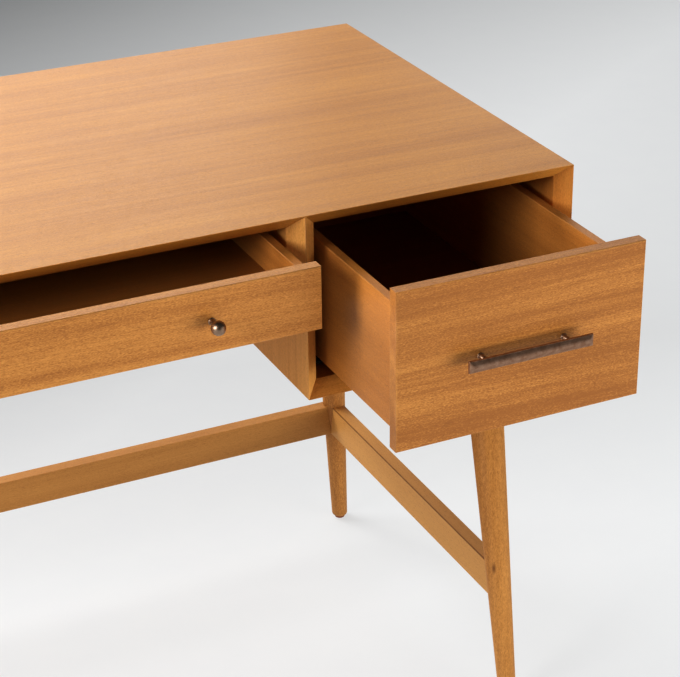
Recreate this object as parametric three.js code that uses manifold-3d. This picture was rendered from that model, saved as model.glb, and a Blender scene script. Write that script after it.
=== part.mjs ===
// A mid-century writing desk: one wide shallow drawer beside one deep drawer, on splayed round legs.
// Millimetres, +Z up, the front faces -Y. X = 0 is the middle of the desk and Z = 0 is the floor.
// The drawers are part open: the deep one by DEEP.open and the wide one by WIDE.open from the case front.
import * as THREE from "three";
import { mergeVertices } from "three/addons/utils/BufferGeometryUtils.js";
import Module from "manifold-3d";

// ---- Driving dimensions ----

const DESK = { width: 1320, depth: 600, height: 762 };
const BOARD = 16.5; // thickness of the case panels
const EDGE_FLAT = 0.5; // blunt strip left on the bevelled front edges
const GLUE = 0.15; // glue line between two boards
const BACK = { thickness: 9, inset: 6 }; // bay backs, and how far they stand in from the rear edges

// The two drawer bays. left and bottom are outer faces of the bay's own boards.
const DEEP_BAY = { left: 323.5, right: DESK.width / 2, bottom: 537.5 };
const WIDE_BAY = { left: -DESK.width / 2, right: DEEP_BAY.left, bottom: 650.5 };

// Drawers. open: the front's face stands this far out of the case; frontSideGap and frontFloorGap are the
// gaps round the front when it is shut; sideTop is the height of the top of the drawer's sides.
const FRONT_TOP = 741.8;
const FRONT_THICKNESS = 16;
const DEEP = { open: 180, frontSideGap: 2.1, frontFloorGap: 2, sideTop: 717.2, length: 536 };
const WIDE = { open: 85.5, frontSideGap: 4.4, frontFloorGap: 1.9, sideTop: 734.5, length: 520 };
const DRAWER_BOX = {
  wallGap: 11.6, // between a drawer side and the bay wall
  side: 11, // thickness of sides, inner front and back
  sideLift: 15, // bottom edge of the sides above the bay floor
  bottom: 4, // thickness of the drawer bottom
  bottomLift: 25.5, // underside of the drawer bottom above the bay floor
  groove: 5, // depth of the grooves that hold the bottom
  grooveSlack: 0.3,
};

// Under-drawer runners: section points are (distance from the bay wall, height above the bay floor).
const RUNNER = { start: 42, end: 552 };
const RUNNER_SECTION = [
  [0.3, 4],
  [36, 4],
  [36, 7],
  [33, 7],
  [33, 14],
  [31, 14],
  [31, 7],
  [1.8, 7],
  [1.8, 36],
  [0.3, 36],
];
const RAIL = { start: 33, end: 515 }; // the drawer's half of the runner, from the face of its front
const RAIL_SECTION = [
  [26, 11],
  [27.5, 11],
  [27.5, 23.7],
  [36.5, 23.7],
  [36.5, 11],
  [38, 11],
  [38, 25.2],
  [26, 25.2],
];

// Turned legs: the insets are from the case's outline to the foot's centre, lean is per mm of height.
const LEG = {
  endInset: 38.6,
  frontInset: 43.2,
  backInset: 40.8,
  lean: 0.0657,
  topRadius: 24.5,
  ankleRadius: 11.5,
  footRadius: 8,
  ankleHeight: 6,
  sides: 32,
};
const GLIDE = { radius: 7.3, height: 3.5, chamfer: 0.6, sides: 24 };
const LEG_BOLT = { radius: 4, inLeg: 35, inBoard: 12, sides: 16 };

// Stretchers: plates on edge between the legs. sideOffset sets the side ones in from the middle of the legs.
const STRETCHER = { thickness: 18.5, bottom: 159.5, top: 205, sideOffset: 1, fit: 0.3 };
const DOWEL = { radius: 4, inLeg: 13, inStretcher: 24, sideHeight: 172, backHeight: 193, sides: 16 };
const HOLE_SLACK = 0.2; // added to a hole's radius, and to its depth

// Knobs of the wide drawer.
const KNOB = {
  fromEnd: 125, // from the end of the drawer front
  ballRadius: 8,
  ballCentre: 18.5,
  stemRadius: 3.3,
  baseRadius: 3.9,
  baseHeight: 1.4,
  sides: 28,
};

// Bar pull of the deep drawer: a flat-backed bar whose front is a hipped ridge.
const PULL = {
  length: 150,
  height: 13.7,
  gap: 18, // between the drawer front and the back of the bar
  body: 3, // square part of the bar's depth
  ridge: 5.2, // depth of the hipped part
  postSpacing: 101.6,
  postRadius: 3.1,
  collarRadius: 3.8,
  collarHeight: 1.2,
  sides: 24,
};
const PULL_REACH = PULL.gap + PULL.body + PULL.ridge;

// Screws that hold the knobs and the pull.
const SCREW = { radius: 1.8, headRadius: 4, headHeight: 2.4, bite: 9, sides: 16 };

// ---- Positions that follow from them ----

const HALF_WIDTH = DESK.width / 2;
const UNDER_TOP = DESK.height - BOARD;
const BEVEL = BOARD - EDGE_FLAT; // how far the front edges slope back
const CASE_FRONT = (DEEP.open + PULL_REACH - DESK.depth) / 2; // Y of the case's front edges
const FRONT_MIDDLE = (bay, drawer) => (FRONT_TOP + bay.bottom + BOARD + drawer.frontFloorGap) / 2;
const CUTTER = 3000; // edge of the block that stands for a half space

// ---- Materials ----

function finish(color, roughness, metalness) {
  return new THREE.MeshStandardMaterial({ color, roughness, metalness });
}
const WOOD_TOP = finish(0xc68b57, 0.42, 0);
const WOOD_CASE = finish(0xb0703a, 0.45, 0);
const WOOD_FRONT = finish(0xb8763d, 0.45, 0);
const WOOD_LEG = finish(0xb87a3e, 0.45, 0);
const WOOD_BOX = finish(0xa9683a, 0.5, 0);
const BEECH = finish(0xc9a77a, 0.7, 0);
const BRONZE = finish(0x5b463c, 0.35, 0.85);
const STEEL = finish(0x8d8f92, 0.4, 0.9);
const GLIDE_PLASTIC = finish(0x3a1d12, 0.6, 0);

// ---- Solids ----

const wasm = await Module();
wasm.setup();

function toSolid(geometry) {
  const bare = geometry.clone();
  bare.deleteAttribute("normal");
  bare.deleteAttribute("uv");
  const merged = mergeVertices(bare, 1e-4);
  const vertProperties = merged.getAttribute("position").array;
  const triVerts = new Uint32Array(merged.index.array);
  return new wasm.Manifold(new wasm.Mesh({ numProp: 3, vertProperties, triVerts }));
}

function toGeometry(solid) {
  const mesh = solid.getMesh();
  const geometry = new THREE.BufferGeometry();
  geometry.setAttribute("position", new THREE.BufferAttribute(mesh.vertProperties, 3));
  geometry.setIndex(new THREE.BufferAttribute(mesh.triVerts, 1));
  geometry.computeVertexNormals();
  return geometry;
}

function cut(geometry, cutters) {
  let solid = toSolid(geometry);
  for (const cutter of cutters) solid = solid.subtract(toSolid(cutter));
  return toGeometry(solid);
}

function join(first, second) {
  return toGeometry(toSolid(first).add(toSolid(second)));
}

function box([x0, x1], [y0, y1], [z0, z1]) {
  const geometry = new THREE.BoxGeometry(x1 - x0, y1 - y0, z1 - z0);
  return geometry.translate((x0 + x1) / 2, (y0 + y1) / 2, (z0 + z1) / 2);
}

// Everything on the side of a plane that its normal points to.
function halfSpace(point, normal) {
  const direction = normal.clone().normalize();
  const turn = new THREE.Quaternion().setFromUnitVectors(new THREE.Vector3(0, 0, 1), direction);
  const block = new THREE.BoxGeometry(CUTTER, CUTTER, CUTTER).translate(0, 0, CUTTER / 2);
  return block.applyQuaternion(turn).translate(point.x, point.y, point.z);
}

// A cylinder from one point to another, which lie on a line along an axis.
function rod(from, to, radius, sides) {
  const along = to.clone().sub(from);
  const geometry = new THREE.CylinderGeometry(radius, radius, along.length(), sides);
  const turn = new THREE.Quaternion().setFromUnitVectors(new THREE.Vector3(0, 1, 0), along.normalize());
  const middle = from.clone().add(to).multiplyScalar(0.5);
  return geometry.applyQuaternion(turn).translate(middle.x, middle.y, middle.z);
}

// The hole for a rod: wider and longer by the slack.
function holeFor(from, to, radius, sides) {
  const slack = to.clone().sub(from).normalize().multiplyScalar(HOLE_SLACK);
  return rod(from.clone().sub(slack), to.clone().add(slack), radius + HOLE_SLACK, sides);
}

// A closed outline of (x, z) points carried along Y.
function alongY(outline, y0, y1) {
  const shape = new THREE.Shape(outline.map(([x, z]) => new THREE.Vector2(x, z)));
  const geometry = new THREE.ExtrudeGeometry(shape, { depth: y1 - y0, bevelEnabled: false });
  return geometry.rotateX(Math.PI / 2).translate(0, y1, 0);
}

// A turned solid about the vertical, from (radius, height) points that run up the outside.
function turned(profile, sides) {
  const points = profile.map(([radius, height]) => new THREE.Vector2(radius, height));
  return new THREE.LatheGeometry(points, sides).rotateX(Math.PI / 2);
}

function part(name, geometry, material) {
  const mesh = new THREE.Mesh(geometry, material);
  mesh.name = name;
  return mesh;
}

const at = (x, y, z) => new THREE.Vector3(x, y, z);

// ---- Case panels, in a frame whose Y = 0 is the plane of the front edges ----

const DOWN = at(0, 0, -1);
const UP = at(0, 0, 1);
const LEFT = at(-1, 0, 0);
const RIGHT = at(1, 0, 0);
const FORWARD = at(0, -1, 0);

// The mitre of the board whose inner side is towards own, with the board whose inner side is towards other.
function mitre(cornerX, cornerZ, own, other) {
  const normal = own.clone().sub(other).normalize();
  const point = at(cornerX, 0, cornerZ).addScaledVector(normal, -GLUE / 2);
  return halfSpace(point, normal);
}

// The slope of a front edge: outer is a point on the board's outer face, inner the way to its inner face.
function frontBevel(outer, inner) {
  return halfSpace(outer.clone().addScaledVector(inner, EDGE_FLAT), inner.clone().add(FORWARD));
}

function topPanel() {
  const board = box([-HALF_WIDTH, HALF_WIDTH], [0, DESK.depth], [UNDER_TOP, DESK.height]);
  return cut(board, [
    mitre(HALF_WIDTH, DESK.height, DOWN, LEFT),
    mitre(-HALF_WIDTH, DESK.height, DOWN, RIGHT),
    frontBevel(at(0, 0, DESK.height), DOWN),
  ]);
}

// A panel at an end of the desk, mitred to the top and to the bottom of its bay.
function endPanel(outerX, inner, bottom) {
  const innerX = outerX + inner.x * BOARD;
  const span = [Math.min(outerX, innerX), Math.max(outerX, innerX)];
  const board = box(span, [0, DESK.depth], [bottom, DESK.height]);
  return cut(board, [
    mitre(outerX, DESK.height, inner, DOWN),
    mitre(outerX, bottom, inner, UP),
    frontBevel(at(outerX, 0, 0), inner),
  ]);
}

// A panel that meets the underside of the top: its front end carries on up to follow the top's bevel.
function innerPanel(outerX, inner, bottom) {
  const innerX = outerX + inner.x * BOARD;
  const span = [Math.min(outerX, innerX), Math.max(outerX, innerX)];
  const board = box(span, [0, DESK.depth], [bottom, UNDER_TOP - GLUE]);
  const tongue = cut(box(span, [0, BEVEL], [UNDER_TOP - BOARD, DESK.height]), [
    halfSpace(at(0, 0, DESK.height - EDGE_FLAT - GLUE), UP.clone().sub(FORWARD)),
  ]);
  return cut(join(board, tongue), [
    mitre(outerX, bottom, inner, UP),
    frontBevel(at(outerX, 0, 0), inner),
  ]);
}

function bayBottom(bay, leftCorner, rightCorner, bolts) {
  const board = box([leftCorner, rightCorner], [0, DESK.depth], [bay.bottom, bay.bottom + BOARD]);
  return cut(board, [
    mitre(leftCorner, bay.bottom, UP, RIGHT),
    mitre(rightCorner, bay.bottom, UP, LEFT),
    frontBevel(at(0, 0, bay.bottom), UP),
    ...bolts,
  ]);
}

function bayBack(bay) {
  const y1 = DESK.depth - BACK.inset;
  const x = [bay.left + BOARD + GLUE, bay.right - BOARD - GLUE];
  return box(x, [y1 - BACK.thickness, y1], [bay.bottom + BOARD + GLUE, UNDER_TOP - GLUE]);
}

// ---- Legs ----

// side is -1 or 1 for left or right, end is -1 or 1 for front or back.
const LEGS = [
  { name: "front_right", side: 1, end: -1, top: DEEP_BAY.bottom },
  { name: "front_left", side: -1, end: -1, top: WIDE_BAY.bottom },
  { name: "back_right", side: 1, end: 1, top: DEEP_BAY.bottom },
  { name: "back_left", side: -1, end: 1, top: WIDE_BAY.bottom },
];

// The middle of a leg at a height.
function legAxis(leg, height) {
  const out = LEG.lean * height;
  const x = leg.side * (HALF_WIDTH - LEG.endInset - out);
  const y = leg.end < 0 ? LEG.frontInset + out : DESK.depth - LEG.backInset - out;
  return at(x, y, height);
}

function legBody(leg, grow) {
  const foot = GLIDE.height + GLUE;
  const ankle = foot + LEG.ankleHeight;
  const profile = [[0, foot]];
  const steps = 3;
  for (let i = 0; i <= steps; i++) {
    const turn = (i / steps) * (Math.PI / 2);
    const radius = LEG.footRadius + (LEG.ankleRadius - LEG.footRadius) * Math.sin(turn);
    profile.push([radius + grow, ankle - LEG.ankleHeight * Math.cos(turn)]);
  }
  profile.push([LEG.topRadius + grow, leg.top - GLUE], [0, leg.top - GLUE]);
  const lean = new THREE.Matrix4().makeShear(0, 0, 0, 0, -leg.side * LEG.lean, -leg.end * LEG.lean);
  const centre = legAxis(leg, 0);
  return turned(profile, LEG.sides).applyMatrix4(lean).translate(centre.x, centre.y, 0);
}

function glide(leg) {
  const { radius, height, chamfer, sides } = GLIDE;
  const centre = legAxis(leg, 0);
  const profile = [
    [0, 0],
    [radius - chamfer, 0],
    [radius, chamfer],
    [radius, height],
    [0, height],
  ];
  return turned(profile, sides).translate(centre.x, centre.y, 0);
}

function legBoltEnds(leg) {
  const top = legAxis(leg, leg.top);
  return [at(top.x, top.y, leg.top - LEG_BOLT.inLeg), at(top.x, top.y, leg.top + LEG_BOLT.inBoard)];
}

function legBoltHoles(top) {
  return LEGS.filter((leg) => leg.top === top).map((leg) =>
    holeFor(...legBoltEnds(leg), LEG_BOLT.radius, LEG_BOLT.sides),
  );
}

// ---- Stretchers, each cut to the round of its legs and dowelled to them ----

const STRETCHER_MIDDLE = (STRETCHER.bottom + STRETCHER.top) / 2;

function dowelEnds(leg, towards, height) {
  const axis = legAxis(leg, height);
  const radius = THREE.MathUtils.lerp(LEG.ankleRadius, LEG.topRadius, height / leg.top);
  const from = axis.clone().addScaledVector(towards, radius - DOWEL.inLeg);
  return [from, axis.clone().addScaledVector(towards, radius + DOWEL.inStretcher)];
}

const BACKWARD = at(0, 1, 0);
const DOWELS = [];
for (const leg of LEGS) {
  const side = leg.side > 0 ? "right" : "left";
  const end = leg.end > 0 ? "back" : "front";
  const inward = leg.end > 0 ? FORWARD : BACKWARD;
  const ends = dowelEnds(leg, inward, DOWEL.sideHeight);
  DOWELS.push({ name: `dowel_side_${side}_${end}`, leg, ends, stretcher: side });
  if (leg.end < 0) continue;
  const backEnds = dowelEnds(leg, leg.side > 0 ? LEFT : RIGHT, DOWEL.backHeight);
  DOWELS.push({ name: `dowel_back_${side}`, leg, ends: backEnds, stretcher: "back" });
}

function dowelHoles(wanted) {
  const chosen = DOWELS.filter(wanted);
  return chosen.map(({ ends }) => holeFor(...ends, DOWEL.radius, DOWEL.sides));
}

// A plate between the front and the back leg of one side. grow thickens it on both faces.
function sidePlate(side, grow) {
  const legs = LEGS.filter((leg) => leg.side === side);
  const [front, back] = legs.map((leg) => legAxis(leg, STRETCHER_MIDDLE));
  const x = front.x - side * STRETCHER.sideOffset;
  const half = STRETCHER.thickness / 2 + grow;
  return box([x - half, x + half], [front.y, back.y], [STRETCHER.bottom, STRETCHER.top]);
}

function sideStretcher(side) {
  const legs = LEGS.filter((leg) => leg.side === side);
  return cut(sidePlate(side, 0), [
    ...legs.map((leg) => legBody(leg, STRETCHER.fit)),
    ...dowelHoles((dowel) => dowel.stretcher === (side > 0 ? "right" : "left")),
  ]);
}

function backStretcher() {
  const legs = LEGS.filter((leg) => leg.end > 0);
  const [right, left] = legs.map((leg) => legAxis(leg, STRETCHER_MIDDLE));
  const half = STRETCHER.thickness / 2;
  const height = [STRETCHER.bottom, STRETCHER.top];
  const plate = box([left.x, right.x], [right.y - half, right.y + half], height);
  return cut(plate, [
    ...legs.map((leg) => legBody(leg, STRETCHER.fit)),
    ...legs.map((leg) => sidePlate(leg.side, STRETCHER.fit)),
    ...dowelHoles((dowel) => dowel.stretcher === "back"),
  ]);
}

function leg(which) {
  return cut(legBody(which, 0), [
    holeFor(...legBoltEnds(which), LEG_BOLT.radius, LEG_BOLT.sides),
    ...dowelHoles((dowel) => dowel.leg === which),
  ]);
}

// ---- Runners ----

// A runner section placed in a bay: side is 1 where the bay wall is to the right of it.
function runner(section, bay, side, y0, y1) {
  const wall = side > 0 ? bay.right - BOARD : bay.left + BOARD;
  const floor = bay.bottom + BOARD;
  return alongY(
    section.map(([x, z]) => [wall - side * x, floor + z]),
    y0,
    y1,
  );
}

const SIDES = [
  { name: "left", side: -1 },
  { name: "right", side: 1 },
];

// ---- Drawers, in a frame whose Y = 0 is the face of the drawer's front ----

function screwEnds(x, z) {
  const inside = FRONT_THICKNESS + GLUE + DRAWER_BOX.side;
  return [at(x, -SCREW.bite, z), at(x, inside, z)];
}

function screw(x, z) {
  const [tip, seat] = screwEnds(x, z);
  const shank = rod(tip, seat.clone().add(at(0, SCREW.headHeight / 2, 0)), SCREW.radius, SCREW.sides);
  const headFrom = seat.clone().add(at(0, GLUE, 0));
  const headTo = headFrom.clone().add(at(0, SCREW.headHeight, 0));
  return join(shank, rod(headFrom, headTo, SCREW.headRadius, SCREW.sides));
}

function screwHole([x, z]) {
  return holeFor(...screwEnds(x, z), SCREW.radius, SCREW.sides);
}

// A drawer's wooden pieces. fixings are the (x, z) places where screws pass through its front.
function drawerBox(name, bay, drawer, fixings) {
  const floor = bay.bottom + BOARD;
  const wall = { left: bay.left + BOARD, right: bay.right - BOARD };
  const front = [wall.left + drawer.frontSideGap, wall.right - drawer.frontSideGap];
  const outer = { left: wall.left + DRAWER_BOX.wallGap, right: wall.right - DRAWER_BOX.wallGap };
  const inner = { left: outer.left + DRAWER_BOX.side, right: outer.right - DRAWER_BOX.side };
  const boxFront = FRONT_THICKNESS + GLUE;
  const boxInside = boxFront + DRAWER_BOX.side;
  const upright = [floor + DRAWER_BOX.sideLift, drawer.sideTop];
  const panelZ = [floor + DRAWER_BOX.bottomLift, floor + DRAWER_BOX.bottomLift + DRAWER_BOX.bottom];
  const slack = DRAWER_BOX.grooveSlack;
  const groove = box(
    [inner.left - DRAWER_BOX.groove - slack, inner.right + DRAWER_BOX.groove + slack],
    [boxInside - DRAWER_BOX.groove - slack, drawer.length + BOARD],
    [panelZ[0] - slack / 2, panelZ[1] + slack / 2],
  );
  const side = (x) => cut(box(x, [boxFront, drawer.length], upright), [groove]);
  const between = [inner.left + GLUE, inner.right - GLUE];
  const holes = fixings.map(screwHole);
  const faceHeight = [floor + drawer.frontFloorGap, FRONT_TOP];
  return [
    part(`${name}_front`, cut(box(front, [0, FRONT_THICKNESS], faceHeight), holes), WOOD_FRONT),
    part(
      `${name}_inner_front`,
      cut(box(between, [boxFront, boxInside], upright), [groove, ...holes]),
      WOOD_BOX,
    ),
    part(`${name}_left_side`, side([outer.left, inner.left]), WOOD_BOX),
    part(`${name}_right_side`, side([inner.right, outer.right]), WOOD_BOX),
    part(
      `${name}_back`,
      box(between, [drawer.length - DRAWER_BOX.side, drawer.length], [panelZ[1] + slack, upright[1]]),
      WOOD_BOX,
    ),
    part(
      `${name}_bottom`,
      box(
        [inner.left - DRAWER_BOX.groove, inner.right + DRAWER_BOX.groove],
        [boxInside - DRAWER_BOX.groove, drawer.length],
        panelZ,
      ),
      WOOD_BOX,
    ),
    ...SIDES.map(({ name: sideName, side: towards }) =>
      part(
        `${name}_rail_${sideName}`,
        runner(RAIL_SECTION, bay, towards, RAIL.start, RAIL.end),
        STEEL,
      ),
    ),
  ];
}

function knob() {
  const { ballRadius, ballCentre, stemRadius, baseRadius, baseHeight, sides } = KNOB;
  const profile = [
    [0, 0],
    [baseRadius, 0],
    [baseRadius, baseHeight],
    [stemRadius, baseHeight + 1],
  ];
  const steps = 10;
  const start = Math.asin(stemRadius / ballRadius);
  for (let i = 0; i < steps; i++) {
    const turn = start + ((Math.PI - start) * i) / steps;
    profile.push([ballRadius * Math.sin(turn), ballCentre - ballRadius * Math.cos(turn)]);
  }
  profile.push([0, ballCentre + ballRadius]);
  return turned(profile, sides).rotateX(Math.PI / 2);
}

// The post of the pull, with a collar against the drawer front.
function pullPost() {
  const profile = [
    [0, 0],
    [PULL.collarRadius, 0],
    [PULL.collarRadius, PULL.collarHeight],
    [PULL.postRadius, PULL.collarHeight],
    [PULL.postRadius, PULL.gap - GLUE],
    [0, PULL.gap - GLUE],
  ];
  return turned(profile, PULL.sides).rotateX(Math.PI / 2);
}

// The bar: a square-edged body whose front is cut to four slopes that meet in a ridge.
function pullBar() {
  const halfLength = PULL.length / 2;
  const halfHeight = PULL.height / 2;
  const slope = PULL.gap + PULL.body;
  const block = box([-halfLength, halfLength], [-PULL_REACH, -PULL.gap], [-halfHeight, halfHeight]);
  const run = at(0, -halfHeight, 0);
  return cut(block, [
    halfSpace(at(0, -slope, halfHeight), at(0, 0, PULL.ridge).add(run)),
    halfSpace(at(0, -slope, -halfHeight), at(0, 0, -PULL.ridge).add(run)),
    halfSpace(at(halfLength, -slope, 0), at(PULL.ridge, 0, 0).add(run)),
    halfSpace(at(-halfLength, -slope, 0), at(-PULL.ridge, 0, 0).add(run)),
  ]);
}

// A piece turned or cut about the origin, moved to a fixing and bored for its screw.
function fixedAt(geometry, [x, z], bored) {
  const placed = geometry.translate(x, 0, z);
  return bored ? cut(placed, [screwHole([x, z])]) : placed;
}

// ---- The desk ----

const desk = new THREE.Group();

const caseGroup = new THREE.Group();
caseGroup.position.y = CASE_FRONT;
desk.add(caseGroup);

const wideRight = WIDE_BAY.right - GLUE;
caseGroup.add(
  part("top_panel", topPanel(), WOOD_TOP),
  part("right_end_panel", endPanel(HALF_WIDTH, LEFT, DEEP_BAY.bottom), WOOD_CASE),
  part("left_end_panel", endPanel(-HALF_WIDTH, RIGHT, WIDE_BAY.bottom), WOOD_CASE),
  part("divider_panel", innerPanel(DEEP_BAY.left, RIGHT, DEEP_BAY.bottom), WOOD_CASE),
  part("wide_bay_side_panel", innerPanel(wideRight, LEFT, WIDE_BAY.bottom), WOOD_CASE),
  part(
    "deep_bay_bottom",
    bayBottom(DEEP_BAY, DEEP_BAY.left, DEEP_BAY.right, legBoltHoles(DEEP_BAY.bottom)),
    WOOD_CASE,
  ),
  part(
    "wide_bay_bottom",
    bayBottom(WIDE_BAY, WIDE_BAY.left, wideRight, legBoltHoles(WIDE_BAY.bottom)),
    WOOD_CASE,
  ),
  part("deep_bay_back", bayBack(DEEP_BAY), WOOD_CASE),
  part("wide_bay_back", bayBack(WIDE_BAY), WOOD_CASE),
);

for (const which of LEGS) {
  caseGroup.add(
    part(`leg_${which.name}`, leg(which), WOOD_LEG),
    part(`leg_bolt_${which.name}`, rod(...legBoltEnds(which), LEG_BOLT.radius, LEG_BOLT.sides), STEEL),
    part(`glide_${which.name}`, glide(which), GLIDE_PLASTIC),
  );
}

caseGroup.add(
  part("side_stretcher_right", sideStretcher(1), WOOD_LEG),
  part("side_stretcher_left", sideStretcher(-1), WOOD_LEG),
  part("back_stretcher", backStretcher(), WOOD_LEG),
);
for (const { name, ends } of DOWELS) {
  caseGroup.add(part(name, rod(...ends, DOWEL.radius, DOWEL.sides), BEECH));
}

for (const { name, side } of SIDES) {
  caseGroup.add(
    part(
      `deep_runner_${name}`,
      runner(RUNNER_SECTION, DEEP_BAY, side, RUNNER.start, RUNNER.end),
      STEEL,
    ),
    part(
      `wide_runner_${name}`,
      runner(RUNNER_SECTION, WIDE_BAY, side, RUNNER.start, RUNNER.end),
      STEEL,
    ),
  );
}

// The wide drawer and its two knobs.
const wideDrawer = new THREE.Group();
wideDrawer.position.y = CASE_FRONT - WIDE.open;
desk.add(wideDrawer);

const wideMiddle = FRONT_MIDDLE(WIDE_BAY, WIDE);
const knobInset = BOARD + WIDE.frontSideGap + KNOB.fromEnd;
const knobPlaces = {
  left: [WIDE_BAY.left + knobInset, wideMiddle],
  right: [WIDE_BAY.right - knobInset, wideMiddle],
};
wideDrawer.add(...drawerBox("wide_drawer", WIDE_BAY, WIDE, Object.values(knobPlaces)));
for (const [side, place] of Object.entries(knobPlaces)) {
  wideDrawer.add(
    part(`knob_${side}`, fixedAt(knob(), place, true), BRONZE),
    part(`knob_screw_${side}`, screw(...place), STEEL),
  );
}

// The deep drawer and its bar pull.
const deepDrawer = new THREE.Group();
deepDrawer.position.y = CASE_FRONT - DEEP.open;
desk.add(deepDrawer);

const pullX = (DEEP_BAY.left + DEEP_BAY.right) / 2;
const pullZ = FRONT_MIDDLE(DEEP_BAY, DEEP);
const postPlaces = {
  left: [pullX - PULL.postSpacing / 2, pullZ],
  right: [pullX + PULL.postSpacing / 2, pullZ],
};
deepDrawer.add(
  ...drawerBox("deep_drawer", DEEP_BAY, DEEP, Object.values(postPlaces)),
  part("pull_bar", fixedAt(pullBar(), [pullX, pullZ], false), BRONZE),
);
for (const [side, place] of Object.entries(postPlaces)) {
  deepDrawer.add(
    part(`pull_post_${side}`, fixedAt(pullPost(), place, true), BRONZE),
    part(`pull_screw_${side}`, screw(...place), STEEL),
  );
}

export default desk;
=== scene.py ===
"""The looks of a mid-century writing desk: eased boards, turned legs, bronze fittings and satin wood.

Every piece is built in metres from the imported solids, so it lies where its CAD node lies.
"""

import math

import bmesh
import bpy
from mathutils import Matrix, Vector


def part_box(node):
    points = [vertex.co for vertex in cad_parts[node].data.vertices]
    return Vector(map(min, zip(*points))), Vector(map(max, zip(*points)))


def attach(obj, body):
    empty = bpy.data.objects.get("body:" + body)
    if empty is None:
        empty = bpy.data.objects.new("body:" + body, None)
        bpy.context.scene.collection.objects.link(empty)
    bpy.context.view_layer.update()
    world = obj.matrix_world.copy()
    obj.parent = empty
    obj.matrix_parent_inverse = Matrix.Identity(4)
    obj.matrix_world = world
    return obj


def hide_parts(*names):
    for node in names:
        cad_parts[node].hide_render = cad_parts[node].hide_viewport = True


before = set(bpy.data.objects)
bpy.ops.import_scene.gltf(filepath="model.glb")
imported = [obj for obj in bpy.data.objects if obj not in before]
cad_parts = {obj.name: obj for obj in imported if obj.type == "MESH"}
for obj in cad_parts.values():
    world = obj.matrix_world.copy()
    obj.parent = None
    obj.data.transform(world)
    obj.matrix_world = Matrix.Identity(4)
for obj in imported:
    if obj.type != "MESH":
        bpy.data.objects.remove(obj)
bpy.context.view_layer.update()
MM = 0.001

# ---- Camera ----

CAMERA_PLACE = Vector((-486.7, -2008.1, 1595.8)) * MM
CAMERA_AZIMUTH = math.radians(25.13)  # to the right of straight at the front
CAMERA_DROP = math.radians(26.31)  # below the horizon
CAMERA_ROLL = math.radians(0.66)
CAMERA_LENS = 105.7  # mm, on a sensor 36 mm wide


def make_camera():
    data = bpy.data.cameras.new("camera")
    data.lens = CAMERA_LENS
    data.sensor_width = 36
    data.clip_end = 200
    camera = bpy.data.objects.new("camera", data)
    bpy.context.scene.collection.objects.link(camera)
    turn = Matrix.Rotation(-CAMERA_AZIMUTH, 4, "Z") @ Matrix.Rotation(math.pi / 2 - CAMERA_DROP, 4, "X")
    camera.matrix_world = Matrix.Translation(CAMERA_PLACE) @ turn @ Matrix.Rotation(-CAMERA_ROLL, 4, "Z")
    bpy.context.scene.camera = camera


# ---- Materials ----


class Shader:
    """A material being built: add() makes a node, gives its sockets values or links, and returns it."""

    def __init__(self, name):
        self.material = bpy.data.materials.new(name)
        self.material.use_nodes = True
        self.tree = self.material.node_tree
        self.tree.nodes.clear()

    def add(self, kind, sockets=None, **settings):
        node = self.tree.nodes.new("ShaderNode" + kind)
        for key, value in settings.items():
            setattr(node, key, value)
        for key, value in (sockets or {}).items():
            self.feed(node.inputs[key], value)
        return node

    def feed(self, socket, value):
        if isinstance(value, bpy.types.NodeSocket):
            self.tree.links.new(value, socket)
        else:
            socket.default_value = value

    def noise(self, vector, scale=1.0, detail=2.0, roughness=0.5):
        sockets = {"Vector": vector, "Scale": scale, "Detail": detail, "Roughness": roughness}
        return self.add("TexNoise", sockets).outputs["Fac"]

    def stretch(self, vector, scale):
        return self.add("Mapping", {"Vector": vector, "Scale": scale}).outputs["Vector"]

    def math(self, operation, *values):
        return self.add("Math", dict(enumerate(values)), operation=operation).outputs["Value"]

    def remap(self, value, low, high, to_low=0.0, to_high=1.0):
        sockets = {"Value": value, "From Min": low, "From Max": high}
        sockets.update({"To Min": to_low, "To Max": to_high})
        return self.add("MapRange", sockets, clamp=True).outputs["Result"]

    def blend(self, factor, first, second, mode="MIX"):
        node = self.add("Mix", data_type="RGBA", blend_type=mode)
        self.feed(node.inputs[0], factor)
        self.feed(node.inputs[6], first)
        self.feed(node.inputs[7], second)
        return node.outputs[2]

    def spot(self, place, centre, shape, inner, outer):
        """1 within the inner distance of the centre, 0 beyond the outer; shape stretches the axes."""
        offset = self.add("VectorMath", {0: place, 1: centre}, operation="SUBTRACT").outputs[0]
        reach = self.add("VectorMath", {0: self.stretch(offset, shape)}, operation="LENGTH")
        return self.remap(reach.outputs["Value"], inner, outer, 1.0, 0.0)

    def dot(self, vector, direction):
        node = self.add("VectorMath", {0: vector, 1: direction}, operation="DOT_PRODUCT")
        return node.outputs["Value"]

    def ramp(self, value, stops):
        node = self.add("ValToRGB", {"Fac": value})
        elements = node.color_ramp.elements
        while len(elements) < len(stops):
            elements.new(0.5)
        for element, (place, colour) in zip(elements, stops):
            element.position = place
            element.color = (*colour, 1.0)
        return node.outputs["Color"]

    def surface(self, sockets, height, depth):
        """Ends the material in a Principled shader whose relief is height, up to depth metres deep."""
        bump = self.add("Bump", {"Height": height, "Distance": depth, "Strength": 1.0})
        shader = self.add("BsdfPrincipled", {**sockets, "Normal": bump.outputs["Normal"]})
        output = self.add("OutputMaterial")
        self.tree.links.new(shader.outputs["BSDF"], output.inputs["Surface"])
        return self.material


# How to turn a board's place so that its X runs along the grain.
GRAIN = {
    "X": (0.0, 0.0, 0.0),
    "Y": (0.0, 0.0, -math.pi / 2),
    "Z": (0.0, math.pi / 2, 0.0),
}

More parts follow.
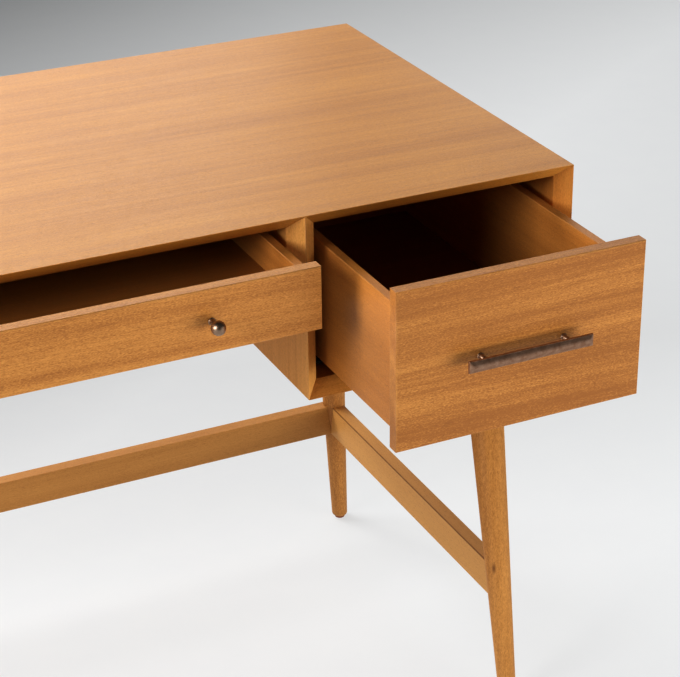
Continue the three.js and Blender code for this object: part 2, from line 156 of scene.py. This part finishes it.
# Dark, middle and light tones of each kind of board.
TONES = {
    "case": ((0.38, 0.148, 0.030), (0.51, 0.218, 0.048), (0.62, 0.290, 0.070)),
    "front": ((0.345, 0.138, 0.033), (0.485, 0.217, 0.054), (0.61, 0.296, 0.081)),
    "top": ((0.375, 0.150, 0.026), (0.51, 0.226, 0.040), (0.63, 0.305, 0.060)),
    "rail": ((0.305, 0.138, 0.038), (0.450, 0.226, 0.068), (0.57, 0.310, 0.100)),
    # pale is a lighter copy of the case tones: painted light on the divider and the wide bay's side.
    "pale": ((0.52, 0.235, 0.060), (0.68, 0.340, 0.092), (0.80, 0.430, 0.130)),
    "leg": ((0.34, 0.148, 0.036), (0.50, 0.235, 0.060), (0.63, 0.320, 0.092)),
    "box": ((0.35, 0.136, 0.028), (0.46, 0.190, 0.042), (0.56, 0.250, 0.060)),
}

# Colours that wood takes where it is open-pored, knotted or rubbed, and the painted shade of a dark line
# along a shaded arris.
PORE = (0.20, 0.075, 0.02, 1.0)
KNOT = (0.13, 0.04, 0.01, 1.0)
ARRIS_SHADE = (0.16, 0.05, 0.012, 1.0)
RUBBED = (0.70, 0.38, 0.13, 1.0)
SEED_STEP = (1.37, 0.731, 2.193)  # metres from the place one seed cuts a board from to the next's
SHINE = 0.3  # the usual specular level of wood


def wood(
    name, tones, grain, seed, figure, lift, fleck=0.0, shine=SHINE, matt=0.0, knot=None, arris_shade=None
):
    """Satin wood, cut from the place that seed gives.

    figure is the strength of its bands, lift makes it lighter, fleck mottles it, shine is its
    specular level and matt adds roughness. knot is the place of a dark knot, and the last argument
    the place of a dark line along Y, painted shade where an arris lies in shadow.
    """
    s = Shader(name)
    place = s.add("TexCoord").outputs["Object"]
    offset = [seed * step for step in SEED_STEP]
    turn = {"Vector": place, "Rotation": GRAIN[grain], "Location": offset}
    along = s.add("Mapping", turn).outputs["Vector"]
    drift = s.add("TexNoise", {"Vector": s.stretch(along, (0.9, 5.0, 5.0)), "Scale": 1.0, "Detail": 1.0})
    sway = s.add("VectorMath", {0: drift.outputs["Color"], 1: (0.0, 0.045, 0.045)}, operation="MULTIPLY")
    grainwise = s.add("VectorMath", {0: along, 1: sway.outputs[0]}, operation="ADD").outputs[0]

    bands = s.noise(s.stretch(grainwise, (0.8, 30.0, 30.0)))
    lines = s.noise(s.stretch(grainwise, (2.0, 130.0, 130.0)), detail=3.0, roughness=0.55)
    streaks = s.noise(s.stretch(grainwise, (14.0, 560.0, 560.0)))
    cloud = s.noise(s.stretch(grainwise, (7.0, 20.0, 20.0)))
    grit = s.noise(s.stretch(grainwise, (380.0, 1700.0, 1700.0)), detail=1.0)
    pores = s.noise(s.stretch(grainwise, (140.0, 1900.0, 1900.0)), detail=1.0)

    tone = 0.5 + lift
    layers = [
        (bands, 0.68 * figure),
        (lines, 0.5 * figure),
        (streaks, 0.45 * figure),
        (cloud, 0.2),
        (grit, 1.15 * figure),
    ]
    if fleck:
        flecks = s.noise(s.stretch(grainwise, (150.0, 380.0, 380.0)), detail=3.0, roughness=0.6)
        layers.append((flecks, fleck))
    for layer, weight in layers:
        tone = s.math("MULTIPLY_ADD", s.math("SUBTRACT", layer, 0.5), weight, tone)
    colour = s.ramp(tone, list(zip((0.18, 0.5, 0.82), tones)))

    pit = s.remap(pores, 0.60, 0.74)
    colour = s.blend(s.math("MULTIPLY", pit, 0.42), colour, PORE)
    if knot:
        mask = s.spot(place, knot, (1.0, 1.0, 0.28), 0.6 * MM, 3.2 * MM)
        colour = s.blend(s.math("MULTIPLY", mask, 0.8), colour, KNOT)
    # Painted shade: a dark line along Y where an arris lies in shadow.
    if arris_shade:
        mask = s.spot(place, arris_shade, (1.0, 0.0, 1.0), 0.4 * MM, 1.9 * MM)
        colour = s.blend(s.math("MULTIPLY", mask, 0.85), colour, ARRIS_SHADE)
    worn = s.add("Attribute", attribute_name="ease").outputs["Fac"]
    rubbed = s.math("MULTIPLY", worn, s.remap(cloud, 0.35, 0.65, 0.08, 0.22))
    colour = s.blend(rubbed, colour, RUBBED)

    gloss = s.math("MULTIPLY_ADD", streaks, 0.14, 0.30 + matt)
    height = s.math("SUBTRACT", s.math("MULTIPLY", streaks, 0.4), pit)
    sockets = {"Base Color": colour, "Roughness": gloss, "Specular IOR Level": shine}
    return s.surface(sockets, height, 0.06 * MM)


def metal(name, colour, wear_and_glint_colour, roughness, mottle, grain):
    """A metal with a cloudy patina, fine scratches along grain, and edges rubbed brighter, which with a
    pale edge colour are also a painted highlight.
    """
    s = Shader(name)
    place = s.add("TexCoord").outputs["Object"]
    cloud = s.noise(place, scale=160.0, detail=4.0, roughness=0.65)
    along = s.add("Mapping", {"Vector": place, "Rotation": GRAIN[grain]}).outputs["Vector"]
    scratch = s.noise(s.stretch(along, (180.0, 3200.0, 3200.0)), detail=2.0)
    worn = s.add("Attribute", attribute_name="ease").outputs["Fac"]
    patchy = s.math("MULTIPLY", s.remap(cloud, 0.38, 0.68), mottle)
    rubbed = s.math("MAXIMUM", patchy, s.math("MULTIPLY", worn, s.remap(cloud, 0.3, 0.6, 0.35, 0.9)))
    uneven = s.math("MULTIPLY_ADD", cloud, 0.12, roughness)
    sockets = {
        "Base Color": s.blend(rubbed, (*colour, 1.0), (*wear_and_glint_colour, 1.0)),
        "Metallic": 1.0,
        "Roughness": s.math("MULTIPLY_ADD", scratch, 0.2, uneven),
    }
    height = s.math("ADD", s.math("MULTIPLY", cloud, 0.7), s.math("MULTIPLY", scratch, 0.3))
    return s.surface(sockets, height, 0.05 * MM)


def plastic(name, colour):
    """Moulded plastic with a fine pebbled skin and scuffs."""
    s = Shader(name)
    place = s.add("TexCoord").outputs["Object"]
    pebble = s.noise(place, scale=2600.0, detail=2.0)
    scuff = s.remap(s.noise(place, scale=240.0, detail=3.0), 0.52, 0.72)
    scuffed = (0.16, 0.10, 0.07, 1.0)
    sockets = {
        "Base Color": s.blend(s.math("MULTIPLY", scuff, 0.35), (*colour, 1.0), scuffed),
        "Roughness": s.math("MULTIPLY_ADD", pebble, 0.2, 0.45),
    }
    return s.surface(sockets, pebble, 0.04 * MM)


# ---- Mesh work ----


def piece(name, mesh, body, slot, material, *nodes):
    """Makes an object of a bmesh, stands it for CAD nodes, and rides it on a body."""
    bmesh.ops.recalc_face_normals(mesh, faces=mesh.faces)
    data = bpy.data.meshes.new(name)
    mesh.to_mesh(data)
    mesh.free()
    data.materials.append(material)
    made = bpy.data.objects.new(name, data)
    bpy.context.scene.collection.objects.link(made)
    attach(made, body)
    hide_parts(*nodes)


WELD = 0.01 * MM
FLAT = math.radians(0.5)  # faces that meet at less than this are one flat side
SHARP = math.radians(20)  # edges that turn more than this are eased


def solid_of(node):
    """A CAD node's solid as a bmesh whose flat sides are single faces."""
    mesh = bmesh.new()
    mesh.from_mesh(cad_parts[node].data)
    bmesh.ops.remove_doubles(mesh, verts=mesh.verts, dist=WELD)
    bmesh.ops.dissolve_limit(mesh, angle_limit=FLAT, verts=mesh.verts, edges=mesh.edges)
    return mesh


def ease(mesh, radius, segments, shortest):
    """Rounds the outer edges longer than shortest. The faces this makes carry ease = 1."""
    layer = mesh.faces.layers.float.new("ease")
    edges = [
        e
        for e in mesh.edges
        if e.is_manifold and e.calc_length() > shortest and e.calc_face_angle_signed() > SHARP
    ]
    rounded = bmesh.ops.bevel(
        mesh,
        geom=edges,
        offset=radius,
        segments=segments,
        profile=0.5,
        affect="EDGES",
        clamp_overlap=True,
    )
    for face in rounded["faces"]:
        face[layer] = 1.0
        face.smooth = True
    return mesh


def board(node, body, slot, material, radius, segments, shortest=20 * MM):
    """A CAD board with its long edges eased."""
    mesh = ease(solid_of(node), radius, segments, shortest)
    piece(node + "_eased", mesh, body, slot, material, node)


ROUND_SIDES = 96
LEG_SIDES = 128


def lathe(rings, sides):
    """A closed bmesh through rings of (centre, radius, radial direction A, radial direction B)."""
    mesh = bmesh.new()
    loops = []
    turns = [2 * math.pi * i / sides for i in range(sides)]
    for centre, radius, a, b in rings:
        ring = [centre + radius * (a * math.cos(t) + b * math.sin(t)) for t in turns]
        loops.append([mesh.verts.new(place) for place in ring])
    for low, high in zip(loops, loops[1:]):
        for i in range(sides):
            j = (i + 1) % sides
            mesh.faces.new((low[i], low[j], high[j], high[i])).smooth = True
    mesh.faces.new(loops[0])
    mesh.faces.new(loops[-1])
    return mesh


def turned(profile, origin, axis):
    """A solid turned about an axis from (radius, distance along the axis) points."""
    a = axis.orthogonal().normalized()
    b = axis.cross(a)
    return lathe([(origin + axis * along, radius, a, b) for radius, along in profile], ROUND_SIDES)


def arc(centre, radius, start, end, steps):
    """(radius, height) points of an arc about a (radius, height) centre, between angles in degrees."""
    points = []
    for i in range(steps + 1):
        angle = math.radians(start + (end - start) * i / steps)
        points.append((centre[0] + radius * math.cos(angle), centre[1] + radius * math.sin(angle)))
    return points


def middle(node):
    low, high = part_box(node)
    return (low + high) / 2


# ---- The case ----

BRONZE = metal("aged_bronze", (0.34, 0.235, 0.165), (0.54, 0.41, 0.31), 0.24, 0.35, "X")
# The pull's pale rubbed colour is partly wear and partly a painted highlight on the bar's edges.
PULL_BRONZE = metal("brushed_bronze", (0.33, 0.19, 0.12), (0.82, 0.61, 0.46), 0.34, 0.3, "X")
# Painted shade: the runners' steel is near black, standing for the shade they lie in inside the bays.
SHADED_RUNNER_STEEL = metal("runner_steel", (0.035, 0.034, 0.034), (0.09, 0.09, 0.09), 0.5, 0.3, "Y")
STEEL = metal("zinc_steel", (0.50, 0.51, 0.53), (0.72, 0.73, 0.74), 0.30, 0.3, "Y")
PLASTIC = plastic("glide_plastic", (0.26, 0.075, 0.022))
BEECH = wood("beech", ((0.50, 0.34, 0.20), (0.58, 0.41, 0.25), (0.64, 0.47, 0.30)), "Y", 40, 1.0, 0.0)


TOP_SHINE = 0.37
DIVIDER_SHINE = 0.05


def make_case():
    # Node, slot, tones, grain, seed and lift.
    boards = [
        ("top_panel", "top_wood", "top", "X", 1, -0.02),
        ("right_end_panel", "case_wood", "case", "Z", 2, 0.1),
        ("left_end_panel", "case_wood", "case", "Z", 3, 0.0),
        # The divider and the wide bay's side take the pale tones and a lift, as painted light.
        ("divider_panel", "case_wood", "pale", "Z", 4, 0.1),
        ("wide_bay_side_panel", "case_wood", "pale", "Z", 5, 0.1),
        ("deep_bay_bottom", "case_wood", "case", "X", 6, 0.0),
        ("wide_bay_bottom", "case_wood", "case", "X", 7, 0.0),
        ("deep_bay_back", "back_panel_wood", "box", "X", 8, -0.1),
        ("wide_bay_back", "back_panel_wood", "box", "X", 9, -0.1),
    ]
    for node, slot, tones, grain, seed, lift in boards:
        shine = {"top_panel": TOP_SHINE, "divider_panel": DIVIDER_SHINE}.get(node, SHINE)
        material = wood(node, TONES[tones], grain, seed, 0.7, lift, shine=shine)
        board(node, "case", slot, material, radius=0.22 * MM, segments=2)


# ---- The stand ----

CORNERS = ("front_right", "front_left", "back_right", "back_left")
ANKLE = {"radius": 11.5 * MM, "round": 5.5 * MM}
TOP_CHAMFER = {"height": 0.3 * MM, "edge": 0.3 * MM, "rim": 0.8 * MM}
KNOT_HEIGHT = 209 * MM


def make_leg(corner, seed):
    low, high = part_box("leg_" + corner)
    foot = middle("glide_" + corner)
    top = middle("leg_bolt_" + corner)
    top_radius = min(abs(low.x - top.x), abs(high.x - top.x))
    round_over = arc((ANKLE["radius"] - ANKLE["round"], ANKLE["round"]), ANKLE["round"], -72, 0, 10)
    sole = round_over[0][1]
    profile = [(radius, height - sole) for radius, height in round_over]
    profile.append((top_radius - TOP_CHAMFER["edge"], high.z - low.z - TOP_CHAMFER["height"]))
    profile.append((top_radius - TOP_CHAMFER["rim"], high.z - low.z))
    rings = []
    for radius, height in profile:
        share = (low.z + height) / high.z
        centre = foot.lerp(top, share)
        centre.z = low.z + height
        rings.append((centre, radius, Vector((1, 0, 0)), Vector((0, 1, 0))))
    knot = None
    if corner == "front_right":
        knot = foot.lerp(top, KNOT_HEIGHT / high.z) + Vector((-ANKLE["radius"], -ANKLE["radius"], 0))
        knot.z = KNOT_HEIGHT
    # Painted shade: the back legs are darker than the front ones.
    lift = -0.15 if corner.startswith("back") else -0.02
    material = wood("leg_" + corner, TONES["leg"], "Z", seed, 0.7, lift, fleck=0.7, matt=0.18, knot=knot)
    piece(f"leg_{corner}_turned", lathe(rings, LEG_SIDES), "case", "leg_wood", material, "leg_" + corner)


def make_glide(corner):
    low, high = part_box("glide_" + corner)
    radius = (high.x - low.x) / 2
    edge = 0.9 * MM
    profile = arc((radius - edge, edge), edge, -90, 0, 6) + [(radius, high.z - low.z)]
    base = middle("glide_" + corner)
    base.z = low.z
    mesh = turned(profile, base, Vector((0, 0, 1)))
    piece(f"glide_{corner}_round", mesh, "case", "glide_plastic", PLASTIC, "glide_" + corner)


def make_stand():
    for seed, corner in enumerate(CORNERS, start=10):
        make_leg(corner, seed)
        make_glide(corner)
    stretchers = [("side_stretcher_right", "Y"), ("side_stretcher_left", "Y"), ("back_stretcher", "X")]
    for seed, (node, grain) in enumerate(stretchers, start=15):
        low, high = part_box(node)
        inner = {"side_stretcher_right": low.x, "side_stretcher_left": high.x}.get(node)
        # A line of painted shade along the inner top arris of the side stretchers.
        arris_shade = inner and (inner, 0.0, high.z)
        # Painted light: the side stretchers are made lighter to stand for light falling on their inner
        # faces.
        lift = 0.28 if inner else 0.0
        material = wood(node, TONES["rail"], grain, seed, 0.45, lift, shine=0.15, matt=0.1, arris_shade=arris_shade)
        board(node, "case", "leg_wood", material, radius=1.0 * MM, segments=4)


# ---- The drawers ----


def make_drawer(name, seed, front_lift):
    # Part, slot, tones, grain, figure and edge radius in millimetres.
    boards = [
        ("front", "drawer_front_wood", "front", "X", 1.1, 1.3),
        ("inner_front", "drawer_box_wood", "box", "X", 0.7, 0.8),
        ("left_side", "drawer_box_wood", "box", "Y", 0.7, 0.8),
        ("right_side", "drawer_box_wood", "box", "Y", 0.7, 0.8),
        ("back", "drawer_box_wood", "box", "X", 0.7, 0.8),
        ("bottom", "drawer_box_wood", "box", "X", 0.6, 0.2),
    ]
    for step, (part, slot, tones, grain, figure, radius) in enumerate(boards):
        node = f"{name}_{part}"
        # Painted shade: a drawer's bottom and back are darker, inside the box.
        lift = {"front": front_lift, "bottom": -0.3, "back": -0.3}.get(part, 0.0)
        material = wood(node, TONES[tones], grain, seed + step, figure, lift)
        board(node, name, slot, material, radius=radius * MM, segments=4)


def make_steel():
    """The runners, which are folded sheet, and the hidden bolts, screws and dowels."""
    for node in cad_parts:
        if "_runner_" in node or "_rail_" in node:
            body = "case" if "_runner_" in node else node.split("_rail_")[0]
            board(node, body, "steel", SHADED_RUNNER_STEEL, radius=0.25 * MM, segments=2, shortest=100 * MM)
        elif "_bolt_" in node or "_screw_" in node:
            repaint(node, STEEL)
        elif node.startswith("dowel_"):
            repaint(node, BEECH)


def repaint(node, material):
    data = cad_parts[node].data
    data.materials.clear()
    data.materials.append(material)


# ---- The fittings ----

OUT = Vector((0, -1, 0))
FILLET = 0.3 * MM
KNOB = {"stem": 3.3 * MM, "base": 3.9 * MM, "flare": 1.2 * MM, "hollow": 1.0 * MM}
POST = {"radius": 3.1 * MM, "step": 1.2 * MM, "hollow": 0.4 * MM}


def make_knob(side):
    node = "knob_" + side
    low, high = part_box(node)
    radius = (high.x - low.x) / 2
    reach = high.y - low.y
    ball = reach - radius
    stem, base, flare, hollow = (KNOB[key] for key in ("stem", "base", "flare", "hollow"))
    neck = math.degrees(math.asin(stem / radius))
    profile = [(base - FILLET, 0), (base, FILLET), (base, flare)]
    profile += arc((stem + hollow, flare + hollow), hollow, 270, 180, 6)
    profile += arc((0, ball), radius, neck - 90, 89.5, 48)
    mesh = turned(profile, Vector((middle(node).x, high.y, middle(node).z)), OUT)
    piece(node + "_turned", mesh, "wide_drawer", "bronze", BRONZE, node)


def make_post(side):
    node = "pull_post_" + side
    low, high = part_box(node)
    collar = (high.x - low.x) / 2
    post, step, hollow = (POST[key] for key in ("radius", "step", "hollow"))
    profile = [(collar - FILLET, 0), (collar, FILLET), (collar, step - FILLET), (collar - FILLET, step)]
    profile += arc((post + hollow, step + hollow), hollow, 270, 180, 4)
    profile.append((post, high.y - low.y))
    mesh = turned(profile, Vector((middle(node).x, high.y, middle(node).z)), OUT)
    piece(node + "_turned", mesh, "deep_drawer", "bronze", BRONZE, node)


PULL = {"back_edge": 3.0 * MM, "ridge_round": 6.4 * MM, "hip_round": 1.2 * MM, "corner": 0.6 * MM}
EDGE_STEPS = 5  # close steps across each rounded edge of the bar
BAR_COLUMNS, BAR_ROWS = 120, 40


def soft_min(first, second, blend):
    """The lesser of two numbers, with the crease between them rounded over a blend."""
    near = max(blend - abs(first - second), 0.0) / blend
    return min(first, second) - near * near * blend / 4


def spread(half, edge, steps):
    """Places from -half to half: even ones, and close ones near both ends where the edge is rounded."""
    close = [half - edge * (1 - math.cos(math.pi / 2 * i / EDGE_STEPS)) for i in range(EDGE_STEPS)]
    even = [(half - edge) * (1 - 2 * i / steps) for i in range(steps + 1)]
    return sorted({round(v, 7) for v in close + even + [-v for v in close]})


def make_bar():
    """The hipped bar: a rounded ridge, four sloping faces and eased corners, over a square back."""
    low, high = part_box("pull_bar")
    centre = (low + high) / 2
    length, height = (high.x - low.x) / 2, (high.z - low.z) / 2
    body, corner = PULL["back_edge"], PULL["corner"]
    slope = (high.y - low.y - body) / height

    def depth(x, z):
        across = soft_min(slope * (height - z), slope * (height + z), PULL["ridge_round"])
        along = soft_min(slope * (length - x), slope * (length + x), PULL["hip_round"])
        edge = max(min(length - abs(x), height - abs(z), corner), 0.0)
        eased = corner - math.sqrt(corner**2 - (corner - edge) ** 2)
        return body + soft_min(across, along, PULL["hip_round"]) - eased

    mesh = bmesh.new()
    columns, rows = spread(length, corner, BAR_COLUMNS), spread(height, corner, BAR_ROWS)
    ease_layer = mesh.faces.layers.float.new("ease")
    front = []
    for x in columns:
        front.append([mesh.verts.new((centre.x + x, high.y - depth(x, z), centre.z + z)) for z in rows])
    for left, right in zip(front, front[1:]):
        for i in range(len(rows) - 1):
            face = mesh.faces.new((left[i], left[i + 1], right[i + 1], right[i]))
            face.smooth = True
            # The rows along the top and bottom edges carry ease: rubbed wear that also paints a
            # highlight.
            face[ease_layer] = 1.0 if min(i, len(rows) - 2 - i) < EDGE_STEPS else 0.0
    rim = front[0] + [column[-1] for column in front[1:]] + front[-1][-2::-1]
    rim += [column[0] for column in front[-2:0:-1]]
    back = [mesh.verts.new((v.co.x, high.y, v.co.z)) for v in rim]
    for i in range(len(rim)):
        j = (i + 1) % len(rim)
        mesh.faces.new((rim[i], rim[j], back[j], back[i]))
    mesh.faces.new(back)
    piece("pull_bar_hipped", mesh, "deep_drawer", "bronze", PULL_BRONZE, "pull_bar")


def make_pull():
    for side in ("left", "right"):
        make_post(side)
    make_bar()


# ---- Studio ----

CONTRAST = 0.8
AMBIENT = 0.04
AIM = Vector((0, 0, 0.5))
FLOOR_REACH = 40  # metres, from the middle to each side
# Name, place, width and height, power in watts. No reflection shows a lamp whose name starts
# with fill.
SOFTBOXES = [
    ("key_left", (-2.6, -0.9, 1.8), (1.4, 1.4), 94),
    ("wash_left", (-0.4, 3.0, 2.1), (1.4, 1.6), 45),
    ("wash_right", (1.0, 3.0, 2.1), (1.4, 1.6), 21),
    ("back_right", (2.7, 2.6, 2.0), (1.8, 1.6), 15),
    ("sheen", (2.9, -3.0, 1.4), (3.4, 2.2), 19),
    ("fill_front", (2.9, -3.0, 1.4), (3.4, 2.2), 41),
    ("fill_front_low", (1.7, -2.6, 0.4), (2.4, 0.6), 44),
    ("fill_back_left", (-1.4, 2.2, 2.9), (2.0, 1.6), 128),
]


def make_floor():
    """A pale sheet that glows, as painted light, so shadows on it stay soft, and greys towards its far
    left as painted shade.
    """
    s = Shader("studio_floor")
    place = s.add("TexCoord").outputs["Object"]
    mottle = s.noise(place, scale=14.0, detail=5.0, roughness=0.6)
    far_left = s.dot(place, (-0.55, 0.84, 0.0))
    depth = s.dot(place, (0.3, 1.0, 0.0))
    # Painted light: the glow falls from the front towards the back and rises towards the right.
    near = s.remap(depth, 0.35, 1.1, 0.625, 0.43)
    right = s.remap(s.add("SeparateXYZ", {0: place}).outputs["X"], -0.2, 1.6, 0.0, 0.16)
    # Painted shade: colour and glow grey towards the far left.
    pale = s.remap(far_left, 0.45, 2.35, 1.0, 0.36)
    tint = s.ramp(mottle, [(0.3, (0.182, 0.182, 0.185)), (0.7, (0.190, 0.190, 0.190))])
    grey = s.add("CombineColor", {0: pale, 1: pale, 2: pale}).outputs[0]
    sockets = {
        "Base Color": s.blend(1.0, tint, grey, "MULTIPLY"),
        "Roughness": 0.9,
        "Specular IOR Level": 0.1,
        "Emission Color": (0.985, 1.0, 1.006, 1.0),
        "Emission Strength": s.math("MULTIPLY", pale, s.math("ADD", near, right)),
    }
    material = s.surface(sockets, mottle, 0.1 * MM)
    mesh = bmesh.new()
    bmesh.ops.create_grid(mesh, x_segments=1, y_segments=1, size=FLOOR_REACH)
    data = bpy.data.meshes.new("floor")
    mesh.to_mesh(data)
    mesh.free()
    data.materials.append(material)
    floor = bpy.data.objects.new("floor", data)
    bpy.context.scene.collection.objects.link(floor)


def make_light(name, place, size, power):
    data = bpy.data.lights.new(name, "AREA")
    data.shape = "RECTANGLE"
    data.size, data.size_y = size
    data.energy = power
    light = bpy.data.objects.new(name, data)
    bpy.context.scene.collection.objects.link(light)
    light.visible_camera = False
    light.visible_glossy = not name.startswith("fill")
    light.location = place
    light.rotation_euler = (AIM - Vector(place)).to_track_quat("-Z", "Y").to_euler()


def make_world():
    world = bpy.data.worlds.new("studio")
    bpy.context.scene.world = world
    world.use_nodes = True
    background = world.node_tree.nodes["Background"]
    background.inputs["Color"].default_value = (1, 1, 1, 1)
    background.inputs["Strength"].default_value = AMBIENT


def make_studio():
    view = bpy.context.scene.view_settings
    view.view_transform = "Standard"
    view.gamma = CONTRAST
    make_floor()
    make_world()
    for name, place, size, power in SOFTBOXES:
        make_light(name, place, size, power)


# ---- The desk ----

make_camera()
make_case()
make_stand()
make_drawer("wide_drawer", 20, front_lift=0.08)
make_drawer("deep_drawer", 30, front_lift=-0.14)
make_steel()
for knob_side in ("left", "right"):
    make_knob(knob_side)
make_pull()
make_studio()
